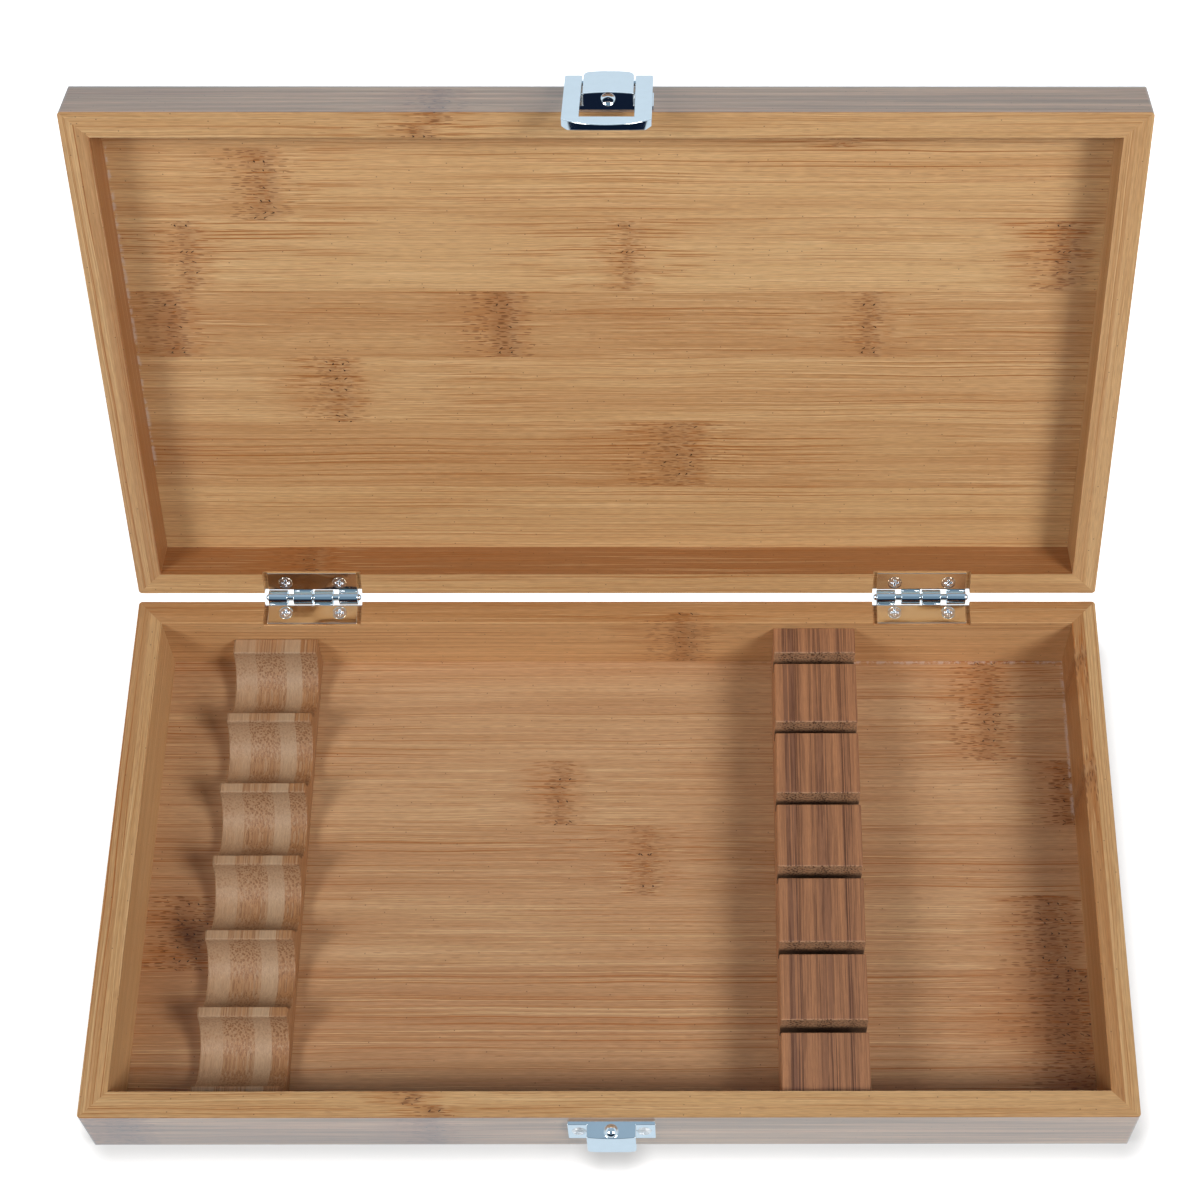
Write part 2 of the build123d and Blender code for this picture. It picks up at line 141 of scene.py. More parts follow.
def combine(tree, x, y, z):
    node = tree.nodes.new("ShaderNodeCombineXYZ")
    for value, socket in zip((x, y, z), node.inputs):
        feed(tree, value, socket)
    return node.outputs[0]


def threefold(tree, value):
    return combine(tree, value, value, value)


def coordinates(tree, kind):
    return tree.nodes.new("ShaderNodeTexCoord").outputs[kind]


def mapped(tree, vector, settings):
    node = tree.nodes.new("ShaderNodeMapping")
    for name, value in settings.items():
        node.inputs[name].default_value = value
    feed(tree, vector, node.inputs["Vector"])
    return node.outputs[0]


def noise(tree, vector, repeats, detail=2.0, roughness=0.5, flat=True):
    node = tree.nodes.new("ShaderNodeTexNoise")
    node.noise_dimensions = "2D" if flat else "3D"
    feed(tree, stretch(tree, vector, repeats), node.inputs["Vector"])
    node.inputs["Scale"].default_value = 1.0
    node.inputs["Detail"].default_value = detail
    node.inputs["Roughness"].default_value = roughness
    return node.outputs[0]


def cells(tree, vector, repeats):
    # Flat cells: the distance to each one's middle, and a random number for each
    node = tree.nodes.new("ShaderNodeTexVoronoi")
    node.voronoi_dimensions = "2D"
    feed(tree, stretch(tree, vector, repeats), node.inputs["Vector"])
    node.inputs["Scale"].default_value = 1.0
    return node.outputs["Distance"], separate(tree, node.outputs["Color"])[0]


def ramp(tree, value, stops, kind="CONSTANT"):
    # Each stop is where it begins, from 0 to 1, and its three values
    node = tree.nodes.new("ShaderNodeValToRGB")
    node.color_ramp.interpolation = kind
    elements = node.color_ramp.elements
    while len(elements) < len(stops):
        elements.new(0.5)
    for element, (start, values) in zip(elements, stops):
        element.position = start
        element.color = (*values, 1.0)
    feed(tree, value, node.inputs[0])
    return node.outputs[0]


def colour(red, green, blue):
    # A colour as it looks on screen, 0 to 255, turned into the linear values that shaders use
    linear = []
    for part in (red, green, blue):
        share = part / 255
        linear.append(share / 12.92 if share <= 0.04045 else ((share + 0.055) / 1.055) ** 2.4)
    return (*linear, 1.0)


def blendColours(tree, amount, first, second, mode="MIX"):
    node = tree.nodes.new("ShaderNodeMix")
    node.data_type = "RGBA"
    node.blend_type = mode
    for value, name in ((amount, "Factor_Float"), (first, "A_Color"), (second, "B_Color")):
        feed(tree, value, next(s for s in node.inputs if s.identifier == name))
    return next(s for s in node.outputs if s.identifier == "Result_Color")


def paint(tree, shade, mask, strength, tint):
    # A colour is laid over the shade where the mask is, as strongly as given
    return blendColours(tree, times(tree, mask, strength), shade, tint)


def tinted(tree, shade, tint):
    return blendColours(tree, 1.0, shade, tint, "MULTIPLY")


def mixShaders(tree, amount, first, second):
    node = tree.nodes.new("ShaderNodeMixShader")
    for value, socket in zip((amount, first, second), node.inputs):
        feed(tree, value, socket)
    return node.outputs[0]


def newGroup(name, inputs, outputs):
    group = bpy.data.node_groups.new(name, "ShaderNodeTree")
    for socketName, kind, value in inputs:
        socket = group.interface.new_socket(name=socketName, in_out="INPUT", socket_type=kind)
        if value is not None:
            socket.default_value = value
    for socketName, kind in outputs:
        group.interface.new_socket(name=socketName, in_out="OUTPUT", socket_type=kind)
    return group, group.nodes.new("NodeGroupInput").outputs, group.nodes.new("NodeGroupOutput").inputs


def placeGroup(tree, group, values):
    node = tree.nodes.new("ShaderNodeGroup")
    node.node_tree = group
    for name, value in values.items():
        feed(tree, value, node.inputs[name])
    return node.outputs


def newMaterial(name):
    material = bpy.data.materials.new(name)
    material.use_nodes = True
    tree = material.node_tree
    return material, tree, next(node for node in tree.nodes if node.type == "BSDF_PRINCIPLED")


def relief(tree, shader, height, depth, strength=1.0):
    bump = tree.nodes.new("ShaderNodeBump")
    bump.inputs["Strength"].default_value = strength
    bump.inputs["Distance"].default_value = depth
    feed(tree, height, bump.inputs["Height"])
    feed(tree, bump.outputs[0], shader.inputs["Normal"])


mostNoise = (0.3, 0.7)  # nearly all of a noise's values lie between these

# What both kinds of bamboo put out, and how their fine fibres change the roughness and the height
grainOutputs = [
    ("Colour", "NodeSocketColor"), ("Roughness", "NodeSocketFloat"), ("Height", "NodeSocketFloat"),
]
fineFibres = {"roughness": 0.16, "groove": 0.5}


def finishGrain(tree, put, shade, fine, dark, shading, smoothest):
    feed(tree, tinted(tree, shade, threefold(tree, between(tree, fine, *shading))), put["Colour"])
    feed(tree, maths(tree, "MULTIPLY_ADD", fine, fineFibres["roughness"], smoothest), put["Roughness"])
    feed(tree, maths(tree, "SUBTRACT", fine, times(tree, dark, fineFibres["groove"])), put["Height"])


# Grain of the boards. Patterns say how often they repeat in a millimetre, along the grain and across it
grainRepeats = {
    "cloud": (0.006, 0.16, 0.0), "bands": (0.012, 1.3, 0.0), "patches": (0.012, 0.09, 0.0),
    "wander": (0.0, 0.3, 0.0), "sway": (0.02, 0.08, 0.0), "dashes": (0.3, 1.7, 0.0),
    "pricks": (0.5, 0.36, 0.0), "specks": (0.22, 0.22, 0.0), "fine": (0.25, 4.5, 0.0),
}
grainStrength = {
    "glints": 0.45, "gap": 0.25, "core": 0.45, "shortThreads": 0.85, "faintThreads": 0.5, "nearKnot": 0.16,
    "pricks": 0.95, "specks": 0.55,
}
grainColours = {
    "darkBand": (0.93, 0.9, 0.85, 1.0), "paleBand": (1.08, 1.11, 1.17, 1.0), "glint": colour(228, 196, 148),
    "gap": colour(222, 188, 142), "core": colour(144, 98, 60), "dash": colour(122, 72, 34),
    "prick": colour(64, 38, 24),
}
# Thin threads in four layers, each cut from another place of the pattern. Widths are shares of a cell
threads = {
    "long": {"slip": (0.0, 0.0, 0.0), "repeats": (0.06, 1.0, 0.0), "thinnest": 0.02, "spread": 0.2},
    "short": {"slip": (37.0, 91.0, 0.0), "repeats": (0.18, 1.3, 0.0), "thinnest": 0.02, "spread": 0.22},
    "faint": {"slip": (71.0, 17.0, 0.0), "repeats": (0.08, 1.8, 0.0), "thinnest": 0.05, "spread": 0.3},
    "glint": {"slip": (13.0, 53.0, 0.0), "repeats": (0.14, 1.4, 0.0), "thinnest": 0.02, "spread": 0.26},
}
threadCore = 0.6  # the share of a thread's width that is fully dark
# Round a knot, in millimetres from its middle, and what is named widths in widths of the knot
knotLook = {
    "wander": 7.0, "sway": 1.6, "near": (28.0, 4.0), "apart": (30.0, 2.0), "drawnOut": 3.0,
    "haloWidths": -5.0, "haloInner": -1.0, "haloFar": (9.0, 2.0),
    "gapInner": (0.8, 1.6), "gapFar": (5.0, 2.6),
    "coreWidths": (1.2, 0.3), "prickWidths": 0.65, "dashWidths": 2.4, "dashMiddleWidths": 0.3,
}


def threadLayer(tree, fibre, layer):
    # Threads have pointed ends, and each is as long as its cell is drawn out
    away, pick = cells(tree, vectorMaths(tree, "ADD", fibre, layer["slip"]), layer["repeats"])
    width = maths(tree, "MULTIPLY_ADD", pick, layer["spread"], layer["thinnest"])
    return between(tree, away, width, times(tree, width, threadCore))


def makeBambooGrain():
    grain, given, put = newGroup(
        "bambooGrain",
        [
            ("Vector", "NodeSocketVector", None),
            ("Tone", "NodeSocketFloat", 0.5),
            ("Knot Distance", "NodeSocketFloat", 200.0),
            ("Knot Width", "NodeSocketFloat", 3.0),
            ("Knot Depth", "NodeSocketFloat", 0.5),
            ("Pale", "NodeSocketColor", colour(209, 169, 119)),
            ("Brown", "NodeSocketColor", colour(178, 128, 80)),
            ("Streak", "NodeSocketColor", colour(160, 90, 24)),
        ],
        grainOutputs,
    )
    place, knotWidth, knotDepth = given["Vector"], given["Knot Width"], given["Knot Depth"]
    placeX, placeY, _ = separate(grain, place)
    cloud = noise(grain, place, grainRepeats["cloud"], detail=4.0, roughness=0.65)
    tone = maths(grain, "ADD", given["Tone"], aboutNought(grain, cloud, 1.0), clamp=True)
    shade = blendColours(grain, tone, given["Pale"], given["Brown"])
    bands = noise(grain, place, grainRepeats["bands"], detail=4.0, roughness=0.75)
    paleShare = between(grain, bands, *mostNoise)
    bandTint = blendColours(grain, paleShare, grainColours["darkBand"], grainColours["paleBand"])
    shade = tinted(grain, shade, bandTint)

    # Distance to the knot, which wanders from fibre to fibre
    wander = noise(grain, place, grainRepeats["wander"], roughness=0.7)
    knotAt = maths(grain, "ADD", given["Knot Distance"], aboutNought(grain, wander, knotLook["wander"]))
    knotAway = maths(grain, "ABSOLUTE", knotAt)
    nearKnot = between(grain, knotAway, *knotLook["near"])

    # Fibres run long on the open board and get shorter towards a knot, so X is drawn out around it. The two
    # sides of a knot are slid apart, so that they don't mirror each other
    drawn = maths(grain, "LOGARITHM", maths(grain, "MULTIPLY_ADD", knotAway, 0.5, 1.0), math.e)
    apart = times(grain, maths(grain, "SIGN", knotAt), between(grain, knotAway, *knotLook["apart"]))
    drawn = maths(grain, "MULTIPLY_ADD", drawn, knotLook["drawnOut"], apart)
    drawn = maths(grain, "ADD", drawn, times(grain, placeX, 0.02))
    sway = aboutNought(grain, noise(grain, place, grainRepeats["sway"], detail=1.0), knotLook["sway"])
    fibre = combine(grain, drawn, maths(grain, "ADD", placeY, sway), 0.0)
    patches = noise(grain, place, grainRepeats["patches"], detail=1.0)
    layers = {name: threadLayer(grain, fibre, layer) for name, layer in threads.items()}
    shade = paint(grain, shade, layers["glint"], grainStrength["glints"], grainColours["glint"])

    # Beside a knot: a brown halo, longer on one side, a pale gap on the other, and its own greyish core
    haloEdge = times(grain, knotWidth, knotLook["haloWidths"])
    halo = between(grain, knotAt, haloEdge, knotLook["haloInner"])
    halo = times(grain, halo, between(grain, knotAt, *knotLook["haloFar"]))
    halo = times(grain, halo, between(grain, patches, 0.2, 0.7, 0.3, 0.5))
    halo = times(grain, halo, between(grain, bands, 0.65, 0.35, 0.7, 1.1))
    shade = paint(grain, shade, halo, knotDepth, given["Streak"])
    gap = between(grain, knotAt, *knotLook["gapInner"])
    gap = times(grain, gap, between(grain, knotAt, *knotLook["gapFar"]))
    shade = paint(grain, shade, gap, times(grain, knotDepth, grainStrength["gap"]), grainColours["gap"])
    prickEdge = times(grain, knotWidth, knotLook["prickWidths"])
    coreEdges = [times(grain, knotWidth, widths) for widths in knotLook["coreWidths"]]
    core = between(grain, knotAway, *coreEdges)
    shade = paint(grain, shade, core, times(grain, knotDepth, grainStrength["core"]), grainColours["core"])

    # Threads, darker in some patches of the board and near a knot
    shortThreads = times(grain, layers["short"], grainStrength["shortThreads"])
    strongest = maths(grain, "MAXIMUM", layers["long"], shortThreads)
    faintThreads = times(grain, layers["faint"], grainStrength["faintThreads"])
    lines = maths(grain, "MAXIMUM", strongest, faintThreads)
    inPatches = between(grain, patches, *mostNoise, 0.5, 0.78)
    lineStrength = maths(grain, "MULTIPLY_ADD", nearKnot, grainStrength["nearKnot"], inPatches)
    shade = paint(grain, shade, lines, lineStrength, given["Streak"])

    # Short dashes round a knot, fewer and paler further off
    dashAway, dashPick = cells(grain, combine(grain, knotAt, placeY, 0.0), grainRepeats["dashes"])
    dashSize = maths(grain, "MULTIPLY_ADD", dashPick, 0.3, 0.12)
    dashes = between(grain, dashAway, dashSize, times(grain, dashSize, threadCore))
    dashOff = maths(grain, "MULTIPLY_ADD", knotWidth, knotLook["dashMiddleWidths"], knotAt)
    dashOff = maths(grain, "ABSOLUTE", dashOff)
    dashReach = times(grain, knotWidth, knotLook["dashWidths"])
    dashShare = maths(grain, "DIVIDE", dashOff, dashReach, clamp=True)
    dashPicked = between(grain, maths(grain, "SUBTRACT", dashPick, dashShare), -0.2, 0.2)
    dashes = times(grain, dashes, dashPicked)
    dashes = times(grain, dashes, maths(grain, "MULTIPLY_ADD", dashShare, -0.45, 0.95))
    shade = paint(grain, shade, dashes, knotDepth, grainColours["dash"])

    # Pairs of dark pin pricks at the middle of a knot, and a few specks anywhere
    prickAway, prickPick = cells(grain, combine(grain, knotAway, placeY, 0.0), grainRepeats["pricks"])
    pricks = times(grain, between(grain, prickAway, 0.14, 0.09), between(grain, prickPick, 0.4, 0.45))
    pricks = times(grain, pricks, between(grain, knotAway, prickEdge, times(grain, prickEdge, 0.9)))
    speckAway, speckPick = cells(grain, place, grainRepeats["specks"])
    specks = times(grain, between(grain, speckAway, 0.045, 0.03), between(grain, speckPick, 0.72, 0.74))
    pricks = times(grain, pricks, grainStrength["pricks"])
    marks = maths(grain, "MAXIMUM", pricks, times(grain, specks, grainStrength["specks"]))
    shade = blendColours(grain, marks, shade, grainColours["prick"])

    fine = noise(grain, place, grainRepeats["fine"], detail=1.0)
    finishGrain(grain, put, shade, fine, strongest, shading=(0.2, 0.8, 0.9, 1.1), smoothest=0.34)
    return grain


# Bamboo sawn across, for the racks: bundles of fibre run along X, and show as rings on the sawn faces
bundleRepeats = {
    "cloud": (0.03, 0.5, 0.5), "drift": (0.08, 0.3, 0.3), "streaks": (0.007, 2.2, 2.2),
    "light": (0.008, 1.6, 1.6), "fine": (0.4, 4.5, 4.5),
}
bundleLook = {
    "sawnAndLitShare": 0.5, "drift": 1.2, "slope": 0.03,
    "disc": (0.42, 0.3), "hollow": (0.22, 0.1), "hollowPale": -0.75,
    "lightSlip": (0.0, 40.0, 0.0), "streakStrength": 0.9, "lightStrength": 0.5,
}


def makeBundledBamboo():
    grain, given, put = newGroup(
        "bundledBamboo",
        [
            ("Vector", "NodeSocketVector", None),
            ("Tone", "NodeSocketFloat", 0.5),
            ("Contrast", "NodeSocketFloat", 0.6),
            ("Bundles Per Millimetre", "NodeSocketFloat", 1.3),
            ("Ring", "NodeSocketFloat", 1.0),
            ("Sawn", "NodeSocketFloat", 0.0),
            ("Pale", "NodeSocketColor", colour(205, 167, 121)),
            ("Brown", "NodeSocketColor", colour(171, 125, 84)),
            ("Bundle", "NodeSocketColor", colour(140, 88, 48)),
            ("Sawn Colour", "NodeSocketColor", colour(192, 166, 140)),
        ],
        grainOutputs,
    )
    place, sawn = given["Vector"], given["Sawn"]
    placeX, placeY, placeZ = separate(grain, place)
    cloud = noise(grain, place, bundleRepeats["cloud"], detail=3.0, flat=False)
    tone = maths(grain, "ADD", given["Tone"], aboutNought(grain, cloud, 0.5), clamp=True)
    shade = blendColours(grain, tone, given["Pale"], given["Brown"])
    # Faces sawn across get the sawn colour: partly their own end-grain colour, partly painted light and shade
    # for how these faces are lit
    shade = paint(grain, shade, sawn, bundleLook["sawnAndLitShare"], given["Sawn Colour"])

    # Bundles: dark discs with a paler middle, which drift a little along the grain
    drift = noise(grain, place, bundleRepeats["drift"], detail=1.0, flat=False)
    across = maths(grain, "ADD", placeY, times(grain, drift, bundleLook["drift"]))
    upwards = maths(grain, "ADD", placeZ, times(grain, placeX, bundleLook["slope"]))
    section = combine(grain, across, upwards, 0.0)
    section = stretch(grain, section, threefold(grain, given["Bundles Per Millimetre"]))
    bundleAway, bundlePick = cells(grain, section, (1.0, 1.0, 0.0))
    disc = between(grain, bundleAway, *bundleLook["disc"])
    hollow = times(grain, between(grain, bundleAway, *bundleLook["hollow"]), given["Ring"])
    bundles = times(grain, disc, maths(grain, "MULTIPLY_ADD", hollow, bundleLook["hollowPale"], 1.0))
    bundles = times(grain, bundles, between(grain, bundlePick, 0.0, 0.4, 0.45, 1.0))

    # Dark and pale streaks along the grain, the dark ones only where the face isn't sawn across
    streaks = noise(grain, place, bundleRepeats["streaks"], detail=3.0, roughness=0.8, flat=False)
    streaks = times(grain, between(grain, streaks, 0.55, 0.58), between(grain, sawn, 0.5, 0.1))
    bundles = times(grain, bundles, between(grain, sawn, 0.0, 1.0, 0.45, 1.0))
    dark = maths(grain, "MAXIMUM", bundles, times(grain, streaks, bundleLook["streakStrength"]))
    dark = times(grain, dark, between(grain, tone, 0.1, 0.7, 0.3, 1.0))
    shade = paint(grain, shade, dark, given["Contrast"], given["Bundle"])
    lightPlace = vectorMaths(grain, "ADD", place, bundleLook["lightSlip"])
    light = noise(grain, lightPlace, bundleRepeats["light"], detail=3.0, flat=False)
    light = between(grain, light, 0.55, 0.6)
    shade = paint(grain, shade, light, bundleLook["lightStrength"], given["Pale"])

    fine = noise(grain, place, bundleRepeats["fine"], roughness=0.7, flat=False)
    finishGrain(grain, put, shade, fine, bundles, shading=(0.25, 0.75, 0.88, 1.12), smoothest=0.4)
    return grain


bambooGrain = makeBambooGrain()
bundledBamboo = makeBundledBamboo()
print("bamboo grain made")

# Outer faces are greyer than the sawn ones, by a painted grey sheen mixed into their colour, and varnished.
# A face turns grey between two shares of how far it looks outwards, from -1 to 1
outerFaces = {
    "turnsGrey": (0.5, 0.8), "amount": 0.34, "grey": colour(186, 172, 163), "contrast": 1.2, "base": 0.6,
    "streaks": (0.008, 0.45, 0.0), "dull": 0.72, "bright": 1.2, "coat": 1.0, "coatRoughness": 0.3,
}
directions = {
    "left": (-1, 0, 0), "right": (1, 0, 0), "front": (0, -1, 0), "rear": (0, 1, 0), "up": (0, 0, 1),
    "down": (0, 0, -1),
}
glueLook = {
    "ragged": (0.35, 0.35, 0.0), "raggedFrom": 0.42, "raggedTo": 0.56, "fadeWidths": (2, 0.4), "amount": 0.55,
    "colour": colour(206, 190, 180),
}
# Painted shade in the racks' slots: how strong it is and its colour
slotShade = {"amount": 0.85, "colour": colour(36, 22, 14)}
fibreRelief = {"depth": 0.0001, "strength": 0.3}
sawnFacing = (0.3, 0.9)  # how far a face of a rack looks to the front or rear before it counts as sawn across

# In millimetres: how far knots may lie from the middle, the widest knot, a knot that is too far off to show,
# and how far it is to a knot on a board without any. The depth says how dark a knot is
knotReach, widestKnot, noKnot, knotless = 400.0, 10.0, (-190.0, 3.0, 0.0), 260.0

# Each strip's grain is slid along by its own share of the longest slide. The step between strips whose tone
# changes from edge to edge is a share of the board's width
boardShift, stripShift, longestSlide = 0.37, 0.61, 900.0
stepWidth = 0.001


def boardPlace(tree, onLid, turned):
    # Where a point lies on its board, in millimetres: the lid is shut first, and X is put along the grain
    where = coordinates(tree, "Object")
    if onLid:
        where = mapped(tree, where, {"Rotation": (lidAngle, 0.0, 0.0), "Location": shutLid.translation})
    turn = (0.0, 0.0, -math.pi / 2 if turned else 0.0)
    return mapped(tree, where, {"Rotation": turn, "Scale": (toMillimetres,) * 3})


def nearestKnot(tree, share, starts, along, knots):
    # The nearest knot of the strip that a point is on: its distance, width and depth
    nearest = None
    for turn in range(max(len(strip) for strip in knots)):
        found = [strip[turn] if turn < len(strip) else noKnot for strip in knots]
        values = [(x / knotReach + 0.5, width / widestKnot, depth) for x, width, depth in found]
        centre, width, depth = separate(tree, ramp(tree, share, list(zip(starts, values))))
        centre = aboutNought(tree, centre, knotReach)
        away = maths(tree, "SUBTRACT", along, centre)
        knot = combine(tree, away, times(tree, width, widestKnot), depth)
        if nearest is not None:
            here = maths(tree, "ABSOLUTE", separate(tree, knot)[0])
            there = maths(tree, "ABSOLUTE", separate(tree, nearest)[0])
            knot = blendColours(tree, maths(tree, "LESS_THAN", here, there), nearest, knot)
        nearest = knot
    return separate(tree, nearest)


def outerMask(tree, board):
    # 1 on the faces that look outwards. The frame has the lid open
    outward = Vector(directions[board["outward"]])
    if board.get("onLid"):
        outward = openLid.to_3x3() @ outward
    looks = vectorMaths(tree, "DOT_PRODUCT", coordinates(tree, "Normal"), outward)
    return between(tree, looks, *board.get("turnsGrey", outerFaces["turnsGrey"]))


def glueLine(tree, shade, line, spot, along, across, outer):
    # A thin whitish line of dried glue along an inner joint: where it is, and how far it runs
    off, run = (along, across) if line["along"] == "Y" else (across, along)
    off = maths(tree, "ABSOLUTE", maths(tree, "SUBTRACT", off, line["at"]))
    ragged = noise(tree, spot, glueLook["ragged"], detail=4.0, roughness=0.75)
    fadeFrom, fadeTo = [line["width"] * widths for widths in glueLook["fadeWidths"]]
    glue = between(tree, off, times(tree, ragged, fadeFrom), fadeTo)
    glue = times(tree, glue, between(tree, ragged, glueLook["raggedFrom"], glueLook["raggedTo"]))
    afterStart = maths(tree, "GREATER_THAN", run, line["from"])
    beforeEnd = maths(tree, "LESS_THAN", run, line["to"])
    glue = times(tree, glue, times(tree, times(tree, afterStart, beforeEnd), glueLook["amount"]))
    return paint(tree, shade, glue, maths(tree, "SUBTRACT", 1.0, outer), glueLook["colour"])


def paintedSheenAndVarnish(tree, shader, shade, grainPlace, outer):
    # The grey mixed into the colour is a painted sheen; the coat is a real varnish
    toGrey = tree.nodes.new("ShaderNodeRGBToBW")
    feed(tree, shade, toGrey.inputs[0])
    weight = maths(tree, "MULTIPLY_ADD", toGrey.outputs[0], outerFaces["contrast"], outerFaces["base"])
    grey = tinted(tree, outerFaces["grey"], threefold(tree, weight))
    shade = paint(tree, shade, outer, outerFaces["amount"], grey)
    wide = noise(tree, grainPlace, outerFaces["streaks"], detail=4.0, roughness=0.7)
    wide = between(tree, wide, *mostNoise, outerFaces["dull"], outerFaces["bright"])
    shade = blendColours(tree, outer, shade, threefold(tree, wide), "MULTIPLY")
    feed(tree, times(tree, outer, outerFaces["coat"]), shader.inputs["Coat Weight"])
    shader.inputs["Coat Roughness"].default_value = outerFaces["coatRoughness"]
    return shade


def bambooMaterial(name, board):
    # A board is cut into strips across its width. Each strip has its own tone, grain and knots
    material, tree, shader = newMaterial(name)
    spot = boardPlace(tree, board.get("onLid"), board.get("turned"))
    along, across, upwards = separate(tree, spot)
    low, high = board["edges"][0], board["edges"][-1]
    share = maths(tree, "DIVIDE", maths(tree, "SUBTRACT", across, low), high - low, clamp=True)
    starts = [(edge - low) / (high - low) for edge in board["edges"][:-1]]
    tones = board.get("tones", [0.0] * len(starts))
    strips = [(tone, (board["seed"] * boardShift + stripShift * k) % 1, 0.0) for k, tone in enumerate(tones)]
    tone, seed, _ = separate(tree, ramp(tree, share, list(zip(starts, strips))))
    slide = times(tree, seed, longestSlide)
    if "grades" in board:
        # Strips whose tone goes from one edge to the other
        stops = []
        for start, end, (first, last) in zip(starts, starts[1:] + [1.0], board["grades"]):
            stops += [(start, (first, 0.0, 0.0)), (end - stepWidth, (last, 0.0, 0.0))]
        tone = separate(tree, ramp(tree, share, stops, "LINEAR"))[0]
    values = {"Tone": tone}
    values.update({key: board[key] for key in board if key[0].isupper()})
    if "Bundle" in board:
        facing = separate(tree, coordinates(tree, "Normal"))[1]
        values["Sawn"] = between(tree, maths(tree, "ABSOLUTE", facing), *sawnFacing)
        values["Vector"] = vectorMaths(tree, "ADD", spot, threefold(tree, slide))
        made = placeGroup(tree, bundledBamboo, values)
    else:
        # The faces of a board are seen flat, so its height counts as width
        flatPlace = combine(tree, along, maths(tree, "ADD", across, upwards), 0.0)
        values["Vector"] = vectorMaths(tree, "ADD", flatPlace, combine(tree, slide, slide, 0.0))
        if any(board.get("knots", ())):
            knot = nearestKnot(tree, share, starts, along, board["knots"])
            values.update(zip(("Knot Distance", "Knot Width", "Knot Depth"), knot))
        else:
            values["Knot Distance"] = maths(tree, "ADD", along, knotless)
        made = placeGroup(tree, bambooGrain, values)
    shade = made["Colour"]
    if "darkBelow" in board:
        # Painted shade down in the slots, darker with depth, on the faces sawn across
        depth = between(tree, upwards, *board["darkBelow"])
        shade = paint(tree, shade, depth, times(tree, values["Sawn"], slotShade["amount"]), slotShade["colour"])
    if "outward" in board:
        outer = outerMask(tree, board)
        for line in board.get("glue", ()):
            shade = glueLine(tree, shade, line, spot, along, across, outer)
        shade = paintedSheenAndVarnish(tree, shader, shade, values["Vector"], outer)
    feed(tree, shade, shader.inputs["Base Color"])
    feed(tree, made["Roughness"], shader.inputs["Roughness"])
    relief(tree, shader, made["Height"], fibreRelief["depth"], fibreRelief["strength"])
    return material


# Pieces with eased edges, in millimetres: the CAD ones again, with every sharp corner rounded a little
easing = {
    "handle_rack": 0.45, "blade_rack": 0.4, "catch_plate": 0.19, "latch_plate": 0.19, "clasp_frame": 0.2,
    "catch_screws": 0.09, "latch_plate_screws": 0.16,
    "left_hinge_base_leaf": 0.15, "left_hinge_lid_leaf": 0.15,
    "right_hinge_base_leaf": 0.15, "right_hinge_lid_leaf": 0.15,
    "left_hinge_base_screws": 0.16, "left_hinge_lid_screws": 0.16,
    "right_hinge_base_screws": 0.16, "right_hinge_lid_screws": 0.16,
}
worn = {"catch_screws": {"slotDepth": 0.45, "left": 0.2}}  # these screws' slots are nearly filled up
pinBore = 0.9  # a little wider than the clasp's bore
flatAngle, cornerAngle, smoothAngle = math.radians(1), math.radians(35), math.radians(42)
seamGap, levelGap = 2e-6, 1e-5
finishOf = {part["node"]: part["material_slot"] for part in frame["record"]["subparts"]}


def aroundPin(edge):
    # The clasp's pin fills its bore, so the edges there stay sharp
    away = [(vert.co - pivotPoint) * toMillimetres for vert in edge.verts]
    return all(math.hypot(part.y, part.z) < pinBore for part in away)


def easedCopy(name, width):
    mesh = bmesh.new()
    mesh.from_mesh(nodes[name].data)
    bmesh.ops.remove_doubles(mesh, verts=mesh.verts, dist=seamGap)
    bmesh.ops.dissolve_limit(mesh, angle_limit=flatAngle, verts=mesh.verts, edges=mesh.edges)
    if name in worn:
        outermost = min(vert.co.y for vert in mesh.verts)
        slotFloor = outermost + worn[name]["slotDepth"] / toMillimetres
        for vert in mesh.verts:
            if abs(vert.co.y - slotFloor) < levelGap:
                vert.co.y = outermost + worn[name]["left"] / toMillimetres
    corners = [edge for edge in mesh.edges if edge.calc_face_angle(0.0) > cornerAngle and not aroundPin(edge)]
    bmesh.ops.bevel(mesh, geom=corners, offset=width / toMillimetres, affect="EDGES", segments=3, profile=0.5,
                    material=-1, clamp_overlap=False)
    for face in mesh.faces:
        face.smooth = True
    for edge in mesh.edges:
        edge.smooth = edge.calc_face_angle(0.0) < smoothAngle
    easedMesh = bpy.data.meshes.new(name + "_eased")
    mesh.to_mesh(easedMesh)
    mesh.free()
    piece = bpy.data.objects.new(name + "_eased", easedMesh)
    scene.collection.objects.link(piece)
    piece.modifiers.new("flats stay flat", "WEIGHTED_NORMAL").keep_sharp = True
    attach(piece, nodes[name]["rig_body"])
    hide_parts(name)
    return piece


eased = {name: easedCopy(name, width) for name, width in easing.items()}
print("edges eased:", len(eased), "pieces")


def dress(names, material):
    for name in names:
        for slot in nodes[name].material_slots:
            slot.material = material
        if name in eased:
            eased[name].data.materials.clear()
            eased[name].data.materials.append(material)


